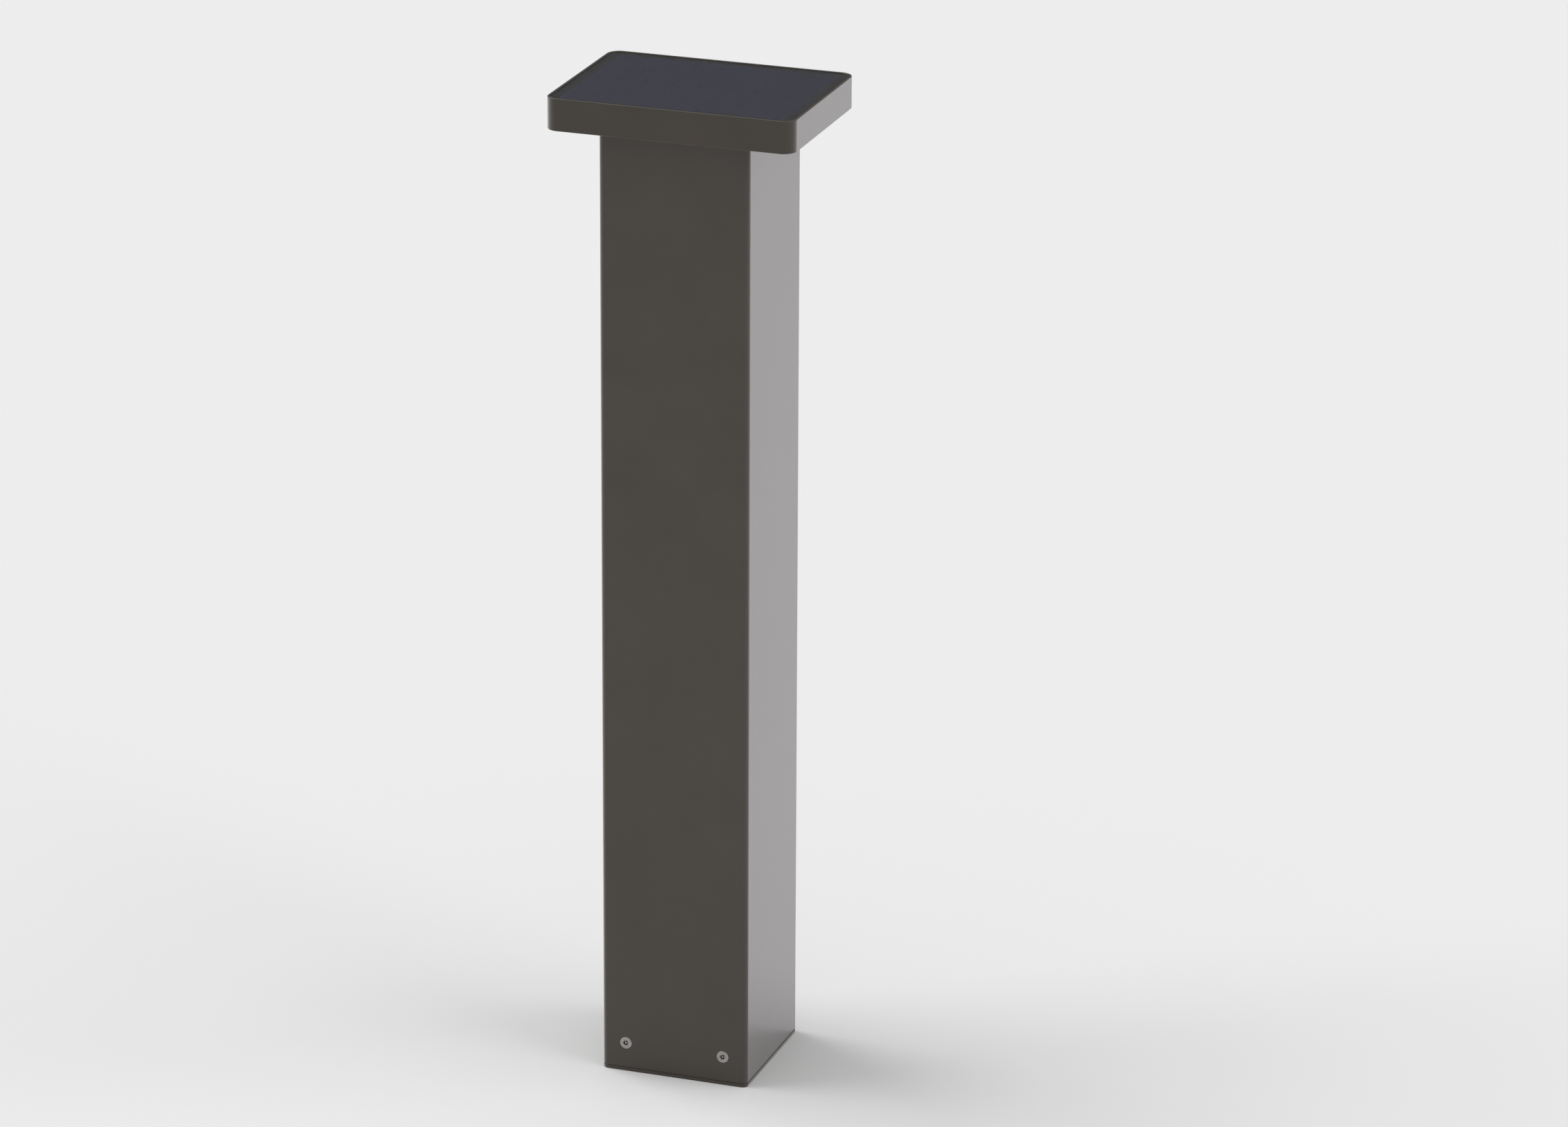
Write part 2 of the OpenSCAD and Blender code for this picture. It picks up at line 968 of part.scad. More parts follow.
module controller_parts() {
    color("black") {
        // Cable entry at the rear edge, with the panel and button connectors beside it
        board_block(0, cable_plug_y, cable_plug);
        board_block(chip_x, 0, chip);
        board_block(coil_x, coil_y, coil);
        for (sx = [-1, 1]) {
            board_block(sx * small_plug_x, small_plug_y, small_plug);
            board_block(sx * lamp_plug_x, 0, lamp_plug);
        }
    }
    // Three capacitors in a row near the front edge
    color("silver")
        for (i = [-1 : 1])
            translate([capacitor_x + i * capacitor_pitch, ctrl_y + capacitor_y, 0])
                drill(capacitor_r, ctrl_top, capacitor_h);
}

module controller_screws() {
    color("silver")
        at_controller_holes()
            pan_screw(m3_r, m3_head_r, m3_head_h, ctrl_screw_l, ctrl_top);
}

// ---- Light engines: side is -1 for left and 1 for right ----

module lens(side) {
    color([0.92, 0.92, 0.88])
        translate([side * window_x, 0, 0]) {
            slab(window_w - 2 * lens_gap, window_l - 2 * lens_gap, window_r - lens_gap,
                head_bottom + lens_drop, floor_h + lens_gasket_t);
            slab(flange_w, flange_l, window_r, head_floor + lens_gasket_t, flange_t);
        }
}

module lens_gasket(side) {
    color([0.10, 0.09, 0.08])
        translate([side * window_x, 0, 0])
            difference() {
                slab(flange_w, flange_l, window_r, head_floor, lens_gasket_t);
                slab(window_w, window_l, window_r, head_floor - over, floor_h);
            }
}

module led_board(side) {
    color("white")
        translate([side * window_x, 0, 0])
            slab(led_board_w, led_board_l, led_board_r, spreader_z - board_t, board_t);
}

module at_leds(side) {
    for (i = [0 : led_count - 1])
        translate([side * window_x, (i - (led_count - 1) / 2) * led_pitch, 0])
            children();
}

module led_chips(side) {
    color("gold")
        at_leds(side)
            translate([0, 0, spreader_z - board_t - led_t / 2])
                cube([led_size, led_size, led_t], center = true);
}

module led_optics(side) {
    plate_z = spreader_z - board_t - led_t - optic_t - 2 * gap;
    color([0.85, 0.90, 0.92])
        union() {
            translate([side * window_x, 0, 0])
                slab(optic_strip_w, optic_strip_l, led_board_r, plate_z, optic_t);
            at_leds(side)
                translate([0, 0, plate_z - optic_h])
                    cylinder(r1 = optic_r1, r2 = optic_r2, h = optic_h + gap);
        }
}

module heat_spreader(side) {
    color("lightgray")
        translate([side * window_x, 0, 0])
            difference() {
                slab(flange_w, spreader_l, spreader_r, spreader_z, spreader_t);
                for (sy = [-1, 1])
                    translate([0, sy * spreader_boss_y, 0])
                        drill(m4_r + screw_gap, spreader_z - over, spreader_t + 2 * over);
            }
}

module spreader_screws() {
    color("silver")
        at_corners(window_x, spreader_boss_y)
            pan_screw(m4_r, m4_head_r, m4_head_h, spreader_screw_l, spreader_z + spreader_t);
}

module led_leads(side) {
    color("red")
        for (sy = [-1, 1])
            translate([side * (ctrl_w / 2 - over), ctrl_y + sy * lead_pitch / 2, lead_z])
                rotate([0, side * 90, 0])
                    cylinder(r = lead_r, h = window_x - (led_board_w + ctrl_w) / 2 + over);
}

// ---- Vent ----

module vent_slot() {
    for (sx = [-1, 1])
        translate([sx * vent_slot_l / 2, 0])
            circle(d = vent_slot_w);
    square([vent_slot_l, vent_slot_w], center = true);
}

// A screw-in plug with a hexagonal head; six slots let air through to the membrane behind them
module vent_plug() {
    color([0.08, 0.08, 0.08])
        translate([under_x, under_y, bezel_z])
            difference() {
                union() {
                    linear_extrude(height = bezel_t)
                        intersection() {
                            circle(r = vent_hex_r, $fn = 6);
                            circle(r = vent_round_r);
                        }
                    cylinder(r = vent_r, h = head_floor + under_boss_h - bezel_z);
                }
                drill(vent_chamber_r, bezel_t, head_h);
                for (a = [0 : 60 : 300])
                    rotate(a)
                        translate([vent_slot_pos, 0, -over])
                            linear_extrude(height = bezel_t + 2 * over)
                                vent_slot();
            }
}

module vent_membrane() {
    color("white")
        translate([under_x, under_y, 0])
            drill(vent_chamber_r - gap, bezel_z + bezel_t, membrane_t);
}

module flat_ring(outer_r, inner_r, z, t) {
    difference() {
        drill(outer_r, z, t);
        drill(inner_r, z - over, t + 2 * over);
    }
}

module vent_seal() {
    color([0.10, 0.09, 0.08])
        translate([under_x, under_y, 0])
            flat_ring(vent_seal_r, vent_r + gap, head_bottom - under_seal_t, under_seal_t);
}

// ---- Service button: pressed upwards, towards +Z ----

module at_button() {
    translate([-under_x, under_y, 0])
        children();
}

module button_body() {
    color([0.55, 0.55, 0.55])
        at_button()
            difference() {
                union() {
                    drill(bezel_r, bezel_z, bezel_t);
                    drill(barrel_r, bezel_z, barrel_top - bezel_z);
                }
                drill(button_d / 2 + button_fit, bezel_z - over, barrel_top);
                drill(barrel_in_r, lip_top, barrel_top);
            }
}

module button_cap() {
    face_z = bezel_z - button_travel;
    color([0.07, 0.07, 0.07])
        at_button()
            difference() {
                union() {
                    drill(button_d / 2, face_z, cap_top - face_z);
                    drill(barrel_in_r - shoulder_gap, cap_shoulder_z, shoulder_t);
                    drill(guide_r, cap_top - gap, guide_h + gap);
                }
                translate([0, 0, face_z + dish_depth - dish_r])
                    sphere(r = dish_r, $fn = 128);
            }
}

// Ring number i of the spring's wire: a polygon around the helix's path
function spring_ring(i, z0, z1) =
    let (
        steps = spring_turns * spring_steps,
        turn = 360 * i / spring_steps,
        z = z0 + (z1 - z0) * i / steps
    )
    [for (k = [0 : spring_sides - 1])
        let (
            a = 360 * k / spring_sides,
            r = spring_mean_r + spring_wire_r * cos(a)
        )
        [r * cos(turn), r * sin(turn), z + spring_wire_r * sin(a)]];

module button_spring() {
    rings = spring_turns * spring_steps + 1;
    low = cap_top + spring_wire_r + gap;
    high = switch_z - spring_wire_r - gap;
    color("silver")
        at_button()
            polyhedron(
                points = [for (i = [0 : rings - 1]) each spring_ring(i, low, high)],
                faces = tube_faces(rings, spring_sides)
            );
}

module button_nut() {
    color("silver")
        at_button()
            difference() {
                translate([0, 0, head_floor])
                    cylinder(r = nut_r, h = nut_h, $fn = 6);
                drill(barrel_r + gap, head_floor - over, nut_h + 2 * over);
            }
}

module button_seal() {
    color([0.10, 0.09, 0.08])
        at_button()
            flat_ring(bezel_r - seal_inset, barrel_r + gap, head_bottom - under_seal_t, under_seal_t);
}

module button_switch() {
    color([0.15, 0.15, 0.15])
        at_button() {
            drill(barrel_in_r - gap, switch_z, switch_t);
            drill(plunger_r, switch_z - plunger_h, plunger_h + gap);
            for (sy = [-1, 1])
                translate([0, sy * terminal_y, barrel_top + terminal_h / 2])
                    cube([terminal_t, terminal_w, terminal_h + 2 * gap], center = true);
        }
}

// The two leads run side by side, through the notch in the rib, to the board's button connector
module button_leads() {
    start_x = terminal_t / 2 + gap - under_x;
    level = barrel_top + terminal_h - over;
    notch_y = junction_y + rib_notch / 2;
    color("red")
        for (i = [0, 1])
            let (
                start_y = under_y + terminal_y * (1 - 2 * i),
                shift = lead_spread * i,
                end_x = lead_spread / 2 - small_plug_x - shift
            )
                wire([
                    [start_x, start_y, level],
                    [start_x + lead_run, start_y, level],
                    [start_x + lead_run + lead_turn, under_y - lead_pitch * i, level],
                    [-rib_x - lead_turn, notch_y + lead_pitch - shift, level],
                    [-rib_x, notch_y + lead_pitch / 2 - shift, level],
                    [-rib_x + lead_run, notch_y - lead_spread - shift, level],
                    [end_x, entry_y + lead_run, entry_z],
                    [end_x, entry_y + gap, entry_z]
                ], [0, 0, 1]);
}

base_plate();
base_gasket();
base_screws_front();
base_screws_rear();
column_tube();
gear_tray();
tray_screws();
battery_case();
battery_cells();
cell_links();
protection_board();
battery_lid();
lid_screws();
battery_clamp();
clamp_screws();
battery_gland();
battery_cable();
connector_socket();
connector_plug();
column_cable();
head_housing();
head_gasket();
head_screws();
cable_grommet();
pv_glass();
pv_cells();
pv_backsheet();
pv_junction();
panel_seal();
panel_leads();
controller_board();
controller_parts();
controller_screws();
lens(-1);  // lens_left
lens(1);  // lens_right
lens_gasket(-1);  // lens_gasket_left
lens_gasket(1);  // lens_gasket_right
led_board(-1);  // led_board_left
led_board(1);  // led_board_right
led_chips(-1);  // led_chips_left
led_chips(1);  // led_chips_right
led_optics(-1);  // led_optics_left
led_optics(1);  // led_optics_right
heat_spreader(-1);  // heat_spreader_left
heat_spreader(1);  // heat_spreader_right
spreader_screws();
led_leads(-1);  // led_leads_left
led_leads(1);  // led_leads_right
vent_plug();
vent_membrane();
vent_seal();
button_body();
button_cap();
button_spring();
button_nut();
button_seal();
button_switch();
button_leads();
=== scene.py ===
"""Looks for the solar bollard light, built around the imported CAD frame. Lengths are in metres."""

import math

import bmesh
import bpy
from mathutils import Matrix, Vector


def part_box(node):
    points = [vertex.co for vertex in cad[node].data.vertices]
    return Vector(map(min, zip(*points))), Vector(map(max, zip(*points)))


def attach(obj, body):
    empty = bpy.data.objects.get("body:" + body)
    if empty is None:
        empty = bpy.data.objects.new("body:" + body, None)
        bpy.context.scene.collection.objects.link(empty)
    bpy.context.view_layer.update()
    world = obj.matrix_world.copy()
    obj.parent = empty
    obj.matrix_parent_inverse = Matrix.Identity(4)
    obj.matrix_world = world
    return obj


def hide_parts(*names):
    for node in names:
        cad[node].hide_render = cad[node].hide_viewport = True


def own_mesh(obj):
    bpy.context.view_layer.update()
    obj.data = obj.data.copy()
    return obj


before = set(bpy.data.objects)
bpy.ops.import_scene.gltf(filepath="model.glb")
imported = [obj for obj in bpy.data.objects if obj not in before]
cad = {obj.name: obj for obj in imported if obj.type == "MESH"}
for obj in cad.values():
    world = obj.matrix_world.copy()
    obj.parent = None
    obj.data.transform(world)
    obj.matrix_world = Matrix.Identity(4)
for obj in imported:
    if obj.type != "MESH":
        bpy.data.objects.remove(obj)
bpy.context.view_layer.update()

MM = 0.001

# ---- Camera, at the photograph's viewing angle ----

CAMERA_PLACE = Vector((2.11923, -5.84465, 2.74047))
CAMERA_AZIMUTH = math.radians(19.177)
CAMERA_ELEVATION = math.radians(19.683)
CAMERA_ROLL = math.radians(0.268)
CAMERA_LENS = 155.2


def add_camera():
    """A camera that looks along its azimuth and elevation; azimuth 0 looks along +Y."""
    az, el, roll = CAMERA_AZIMUTH, CAMERA_ELEVATION, CAMERA_ROLL
    back = Vector((math.sin(az) * math.cos(el), -math.cos(az) * math.cos(el), math.sin(el)))
    right = Vector((math.cos(az), math.sin(az), 0))
    up = back.cross(right)
    rolled_right = right * math.cos(roll) + up * math.sin(roll)
    rolled_up = up * math.cos(roll) - right * math.sin(roll)
    data = bpy.data.cameras.new("camera")
    data.lens = CAMERA_LENS
    camera = bpy.data.objects.new("camera", data)
    bpy.context.scene.collection.objects.link(camera)
    turn = Matrix((rolled_right, rolled_up, back)).transposed().to_4x4()
    camera.matrix_world = Matrix.Translation(CAMERA_PLACE) @ turn
    bpy.context.scene.camera = camera


# ---- Stage: a pale floor under two soft lights and an even sky ----

FLOOR_SIZE = 60
FLOOR_ALBEDO = 0.80
BACKDROP = 0.855
SKY_LOW = 0.13
SKY_HIGH = 0.652
SKY_RISE = (0.35, 0.65)  # sines of the elevations between which the sky brightens


def add_sun(name, azimuth, elevation, disc, strength):
    """A distant light; azimuth is measured from +X, and disc is the angle that it fills."""
    data = bpy.data.lights.new(name, "SUN")
    data.energy = strength
    data.angle = math.radians(disc)
    sun = bpy.data.objects.new(name, data)
    bpy.context.scene.collection.objects.link(sun)
    a, e = math.radians(azimuth), math.radians(elevation)
    towards = Vector((math.cos(a) * math.cos(e), math.sin(a) * math.cos(e), math.sin(e)))
    sun.rotation_mode = "QUATERNION"
    sun.rotation_quaternion = towards.to_track_quat("Z", "Y")


def add_sky():
    """The sky is dim near the horizon. What the camera sees directly is a plain backdrop."""
    world = bpy.data.worlds.new("studio")
    bpy.context.scene.world = world
    world.use_nodes = True
    nodes, links = world.node_tree.nodes, world.node_tree.links
    nodes.clear()
    coords = nodes.new("ShaderNodeTexCoord")
    split = nodes.new("ShaderNodeSeparateXYZ")
    rise = nodes.new("ShaderNodeMapRange")
    rise.interpolation_type = "SMOOTHSTEP"
    rise.inputs["From Min"].default_value, rise.inputs["From Max"].default_value = SKY_RISE
    rise.inputs["To Min"].default_value = SKY_LOW
    rise.inputs["To Max"].default_value = SKY_HIGH
    sky = nodes.new("ShaderNodeBackground")
    sky.inputs["Color"].default_value = (1, 1, 1, 1)
    backdrop = nodes.new("ShaderNodeBackground")
    backdrop.inputs["Color"].default_value = (BACKDROP, BACKDROP, BACKDROP, 1)
    rays = nodes.new("ShaderNodeLightPath")
    mix = nodes.new("ShaderNodeMixShader")
    out = nodes.new("ShaderNodeOutputWorld")
    links.new(coords.outputs["Generated"], split.inputs[0])
    links.new(split.outputs["Z"], rise.inputs["Value"])
    links.new(rise.outputs["Result"], sky.inputs["Strength"])
    links.new(rays.outputs["Is Camera Ray"], mix.inputs[0])
    links.new(sky.outputs[0], mix.inputs[1])
    links.new(backdrop.outputs[0], mix.inputs[2])
    links.new(mix.outputs[0], out.inputs["Surface"])


def add_floor():
    """One large pale face at the height that the light stands on."""
    half = FLOOR_SIZE / 2
    mesh = bpy.data.meshes.new("floor")
    corners = [(-half, -half, 0), (half, -half, 0), (half, half, 0), (-half, half, 0)]
    mesh.from_pydata(corners, [], [(0, 1, 2, 3)])
    floor = bpy.data.objects.new("floor", mesh)
    bpy.context.scene.collection.objects.link(floor)
    look = Look("studio_floor", (FLOOR_ALBEDO,) * 3, 1.0, {"Specular IOR Level": 0.0})
    floor.data.materials.append(look.material)


# ---- Material helper ----

MIX_COLORS = (6, 7)  # a mix node's sockets for its two colours, and its colour output
MIX_RESULT = 2


class Look:
    """A node material: one Principled shader, and helpers that add the nodes which feed it."""

    def __init__(self, name, color, roughness, settings=None):
        self.material = bpy.data.materials.new(name)
        self.material.use_nodes = True
        self.tree = self.material.node_tree
        self.shader = self.tree.nodes["Principled BSDF"]
        self.color = color
        self.feed("Base Color", (*color, 1))
        self.feed("Roughness", roughness)
        for socket, value in (settings or {}).items():
            self.feed(socket, value)

    def feed(self, socket, value):
        """Sets one of the shader's inputs, or links it to the output of another node."""
        self._put(self.shader.inputs[socket], value)

    def _put(self, socket, value):
        if isinstance(value, bpy.types.NodeSocket):
            self.tree.links.new(value, socket)
        else:
            socket.default_value = value

    def node(self, kind, inputs, out=0, **settings):
        """Adds a node, sets or links its inputs, and returns one of its outputs."""
        made = self.tree.nodes.new("ShaderNode" + kind)
        for name, value in settings.items():
            setattr(made, name, value)
        for socket, value in inputs.items():
            self._put(made.inputs[socket], value)
        return made.outputs[out]

    def part(self, vector, letter):
        """The X, Y or Z part of a vector."""
        return self.node("SeparateXYZ", {0: vector}, out=letter)

    def place(self, stretch=(1, 1, 1)):
        """The point on the piece in millimetres, stretched for grain that runs one way."""
        point = self.node("TexCoord", {}, out="Object")
        scale = tuple(s / MM for s in stretch)
        return self.node("VectorMath", {0: point, 1: scale}, operation="MULTIPLY")

    def noise(self, per_mm, detail=2.0, stretch=(1, 1, 1), rough=0.5):
        """Soft cloudy noise from 0 to 1, with per_mm bumps to the millimetre."""
        inputs = {"Vector": self.place(stretch), "Scale": per_mm, "Detail": detail, "Roughness": rough}
        return self.node("TexNoise", inputs)

    def cells(self, per_mm, feature="F1", metric="EUCLIDEAN"):
        """Distance inside random cells, for pebbled or crystalline surfaces."""
        inputs = {"Vector": self.place(), "Scale": per_mm}
        return self.node("TexVoronoi", inputs, out="Distance", feature=feature, distance=metric)

    def math(self, operation, a, b=0.0):
        return self.node("Math", {0: a, 1: b}, operation=operation)

    def mixed(self, a, b, share):
        """The given share of a, with b for the rest."""
        return self.math("ADD", self.math("MULTIPLY", a, share), self.math("MULTIPLY", b, 1 - share))

    def spread(self, value, low, high, start=0.3, end=0.7):
        """Maps value from start..end to low..high; noise stays mostly within 0.3 to 0.7."""
        inputs = {"Value": value, "From Min": start, "From Max": end, "To Min": low, "To Max": high}
        return self.node("MapRange", inputs, interpolation_type="SMOOTHSTEP")

    def blend(self, factor, a, b):
        """The colour a where factor is 0, and b where it is 1."""
        made = self.tree.nodes.new("ShaderNodeMix")
        made.data_type = "RGBA"
        self._put(made.inputs["Factor"], factor)
        for index, color in zip(MIX_COLORS, (a, b)):
            made.inputs[index].default_value = (*color, 1)
        return made.outputs[MIX_RESULT]

    def vary(self, value, share):
        """The look's own colour, up to share darker and lighter as value goes from low to high."""
        dark = tuple(c * (1 - share) for c in self.color)
        light = tuple(c * (1 + share) for c in self.color)
        self.feed("Base Color", self.blend(self.spread(value, 0, 1), dark, light))

    def relief(self, *layers):
        """Bumps the surface: each layer is a height from 0 to 1 and its depth in millimetres."""
        normal = None
        for height, depth in layers:
            inputs = {"Height": height, "Distance": depth * MM, "Strength": 1.0}
            if normal is not None:
                inputs["Normal"] = normal
            normal = self.node("Bump", inputs)
        self.feed("Normal", normal)

    def ring(self, axes, centre):
        """Distance in millimetres from the axis of a turned piece; axes are two letters of XYZ.
        The first axis is folded at zero, so a mirrored pair shares one centre."""
        point = self.place()
        across = self.math("ABSOLUTE", self.part(point, axes[0]))
        across = self.math("SUBTRACT", across, centre[0] / MM)
        along = self.math("SUBTRACT", self.part(point, axes[1]), centre[1] / MM)
        flat = self.node("CombineXYZ", {0: across, 1: along})
        return self.node("VectorMath", {0: flat}, out="Value", operation="LENGTH")

    def grooves(self, ring, per_mm):
        """Turning marks: noise along the radius only."""
        inputs = {"W": ring, "Scale": per_mm, "Detail": 3.0}
        return self.node("TexNoise", inputs, noise_dimensions="1D")


# ---- Materials of the outside ----


COLUMN_GLOSS = 0.50
HEAD_GLOSS = 0.38
COAT_START = 0.10  # how far a face turns away, from 0 to 1, before the coat's gloss begins
COAT_FULL = 0.70
COAT_POWER = 2.4
GLANCE_START = 0.71  # beyond this the pebbles break the gloss up again
GLANCE_FULL = 0.88
GLANCING_GLOSS = 0.35  # share of the gloss that is left at the flattest glances
DUST_START = 0.3  # how far a face turns up before dust settles on it
DUST_FULL = 0.9
DUSTY_GLOSS = 0.25  # share of the gloss that is left under the dust


def coat_gloss(look):
    """Gloss that grows as a face turns away, and is weaker at the flattest glances and under dust."""
    facing = look.node("LayerWeight", {"Blend": 0.5}, out="Facing")
    turned = look.node("MapRange", {"Value": facing, "From Min": COAT_START, "From Max": COAT_FULL})
    broken = look.spread(facing, 1.0, GLANCING_GLOSS, start=GLANCE_START, end=GLANCE_FULL)
    upward = look.part(look.node("NewGeometry", {}, out="Normal"), "Z")
    clean = look.spread(upward, 1.0, DUSTY_GLOSS, start=DUST_START, end=DUST_FULL)
    gloss_left = look.math("MULTIPLY", clean, broken)
    return look.math("MULTIPLY", look.math("POWER", turned, COAT_POWER), gloss_left)


def bronze_coat(name, gloss):
    """Satin bronze-grey powder coat: fine pebbles over a slow orange peel."""
    look = Look(name, (0.062, 0.051, 0.041), 0.36, {
        "IOR": 1.5,
        "Specular IOR Level": gloss,
        "Coat Roughness": 0.16,
        "Coat IOR": 2.7,
        "Coat Tint": (0.98, 0.95, 1.0, 1.0),
    })
    pebbles = look.noise(1.5, detail=3.0)
    peel = look.noise(0.22)
    clouds = look.noise(0.02)
    look.vary(look.mixed(pebbles, clouds, 0.6), 0.08)
    look.feed("Roughness", look.spread(pebbles, 0.32, 0.40))
    look.relief((pebbles, 0.014), (peel, 0.006))
    look.feed("Coat Weight", coat_gloss(look))
    return look


def turned_steel(name, color, roughness, axes, centre):
    """Turned metal: fine concentric grooves around the piece's own axis."""
    look = Look(name, color, roughness, {"Metallic": 1.0})
    marks = look.grooves(look.ring(axes, centre), 6.0)
    soil = look.noise(0.6, detail=4.0)
    look.vary(soil, 0.10)
    look.feed("Roughness", look.spread(marks, roughness - 0.07, roughness + 0.07))
    look.relief((marks, 0.006), (soil, 0.004))
    return look


def rubber(name, color, roughness, grain):
    """Matt rubber: a fine talc-like grain over slow unevenness."""
    look = Look(name, color, roughness, {"IOR": 1.5})
    fine = look.noise(grain, detail=3.0)
    slow = look.noise(grain / 12)
    look.vary(fine, 0.25)
    look.feed("Roughness", look.spread(slow, roughness - 0.06, roughness + 0.06))
    look.relief((fine, 0.012), (slow, 0.03))
    return look


def panel_glass():
    """Tempered solar glass: clear, with a fine satin texture that hides the cells at a glance."""
    look = Look("panel_glass_look", (0.93, 0.96, 0.97), 0.22, {
        "IOR": 1.5,
        "Transmission Weight": 1.0,
    })
    dimples = look.cells(1.3, feature="SMOOTH_F1")
    waves = look.noise(0.05)
    look.feed("Roughness", look.spread(waves, 0.20, 0.24))
    look.relief((dimples, 0.006), (waves, 0.02))
    return look


def solar_cell():
    """Back-contact silicon: near-black navy, a little different from cell to cell."""
    look = Look("solar_cell_look", (0.0055, 0.0045, 0.042), 0.32, {"IOR": 1.9})
    grain = look.noise(0.9, detail=4.0, stretch=(1, 6, 1))
    clouds = look.noise(0.018, detail=1.0)
    look.vary(look.mixed(grain, clouds, 0.4), 0.22)
    look.feed("Roughness", look.spread(grain, 0.26, 0.36))
    look.relief((grain, 0.002))
    return look


def backsheet():
    """Black laminate with the faint weave of its glass cloth."""
    look = Look("backsheet_look", (0.028, 0.023, 0.026), 0.5, {"IOR": 1.45})
    warp = look.noise(0.8, stretch=(6, 0.2, 1))
    weft = look.noise(0.8, stretch=(0.2, 6, 1))
    weave = look.math("MAXIMUM", warp, weft)
    look.vary(weave, 0.3)
    look.feed("Roughness", look.spread(weave, 0.44, 0.56))
    look.relief((weave, 0.01))
    return look


def opal_lens():
    """Opal polycarbonate, moulded with a fine sanded face."""
    look = Look("opal_lens_look", (0.80, 0.80, 0.76), 0.38, {
        "IOR": 1.585,
        "Transmission Weight": 0.12,
    })
    sand = look.noise(3.0, detail=2.0)
    flow = look.noise(0.03, stretch=(1, 0.3, 1))
    look.vary(flow, 0.02)
    look.feed("Roughness", look.spread(sand, 0.33, 0.43))
    look.relief((sand, 0.008))
    return look


def moulded_plastic(name, color, roughness, grain=2.5, depth=0.012):
    """Moulded plastic with a spark-eroded grain."""
    look = Look(name, color, roughness, {"IOR": 1.5})
    pits = look.cells(grain)
    slow = look.noise(0.08)
    look.vary(slow, 0.12)
    look.feed("Roughness", look.spread(pits, roughness - 0.06, roughness + 0.06, start=0.1, end=0.6))
    look.relief((pits, depth))
    return look


def membrane():
    """White porous membrane: matt, with a fine felted surface."""
    look = Look("membrane_look", (0.72, 0.72, 0.70), 0.85, {"Specular IOR Level": 0.2})
    felt = look.noise(5.0, detail=4.0, rough=0.7)
    look.vary(felt, 0.06)
    look.relief((felt, 0.02))
    return look


# ---- Materials of the inside ----


def zinc_steel():
    """Bright zinc plate: small flat crystals and a faint blue-yellow passivation."""
    look = Look("zinc_steel_look", (0.58, 0.60, 0.62), 0.33, {"Metallic": 1.0})
    flakes = look.cells(0.7)
    bloom = look.noise(0.15, detail=3.0)
    look.feed("Base Color", look.blend(look.spread(bloom, 0, 1), (0.54, 0.57, 0.63), (0.64, 0.62, 0.55)))
    look.feed("Roughness", look.spread(flakes, 0.27, 0.42, start=0.1, end=0.7))
    look.relief((flakes, 0.004), (bloom, 0.006))
    return look


def drawn_metal(name, color, roughness, stretch, per_mm=1.0):
    """Rolled or drawn metal, with grain along one way."""
    look = Look(name, color, roughness, {"Metallic": 1.0})
    grain = look.noise(per_mm, detail=4.0, stretch=stretch)
    slow = look.noise(0.05)
    look.vary(slow, 0.06)
    look.feed("Roughness", look.spread(grain, roughness - 0.09, roughness + 0.09))
    look.relief((grain, 0.004))
    return look


def circuit_board():
    """Solder mask over copper: raised tracks in right-angled runs, a little lighter than the ground."""
    look = Look("circuit_board_look", (0.010, 0.095, 0.040), 0.34, {"IOR": 1.5})
    tracks = look.spread(look.cells(0.28, feature="F2", metric="CHEBYCHEV"), 0, 1, start=0.55, end=0.62)
    look.feed("Base Color", look.blend(tracks, (0.008, 0.080, 0.034), (0.022, 0.165, 0.062)))
    weave = look.noise(2.0)
    look.feed("Roughness", look.spread(weave, 0.28, 0.40))
    look.relief((tracks, 0.035), (weave, 0.006))
    return look


def white_board():
    """White solder mask on aluminium, slightly uneven."""
    look = Look("white_board_look", (0.78, 0.78, 0.75), 0.42, {"IOR": 1.5})
    fine = look.noise(2.5)
    slow = look.noise(0.06)
    look.vary(slow, 0.03)
    look.feed("Roughness", look.spread(fine, 0.36, 0.48))
    look.relief((fine, 0.006))
    return look


def cell_sleeve():
    """Blue shrink sleeve with faint draw lines and wrinkles."""
    look = Look("cell_sleeve_look", (0.030, 0.115, 0.300), 0.28, {"IOR": 1.52, "Coat Weight": 0.3})
    wrinkles = look.noise(0.18, detail=3.0, stretch=(1, 1, 0.25))
    look.vary(wrinkles, 0.08)
    look.feed("Roughness", look.spread(wrinkles, 0.22, 0.36))
    look.relief((wrinkles, 0.05))
    return look


def led_phosphor():
    """Yellow phosphor in silicone, brighter where it is thick."""
    look = Look("led_phosphor_look", (0.78, 0.58, 0.10), 0.3, {"IOR": 1.45, "Coat Weight": 0.5})
    grains = look.noise(6.0, detail=3.0)
    look.vary(grains, 0.12)
    look.feed("Roughness", look.spread(grains, 0.22, 0.40))
    look.relief((grains, 0.006))
    return look


def clear_optic():
    """Clear moulded acrylic."""
    look = Look("clear_optic_look", (0.92, 0.95, 0.96), 0.06, {"IOR": 1.49, "Transmission Weight": 1.0})
    flow = look.noise(0.25)
    look.feed("Roughness", look.spread(flow, 0.03, 0.10))
    look.relief((flow, 0.01))
    return look


def cable(name, color, roughness):
    """Extruded jacket: slow waviness and a fine matt skin."""
    look = Look(name, color, roughness, {"IOR": 1.5})
    skin = look.noise(4.0, detail=3.0)
    waves = look.noise(0.12)
    look.vary(skin, 0.12)
    look.feed("Roughness", look.spread(waves, roughness - 0.05, roughness + 0.08))
    look.relief((skin, 0.006), (waves, 0.03))
    return look


def screw_centre(name):
    """Half the distance between the two base screws, and their height."""
    low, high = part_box(name)
    head_radius = (high.z - low.z) / 2
    return high.x - head_radius, (low.z + high.z) / 2


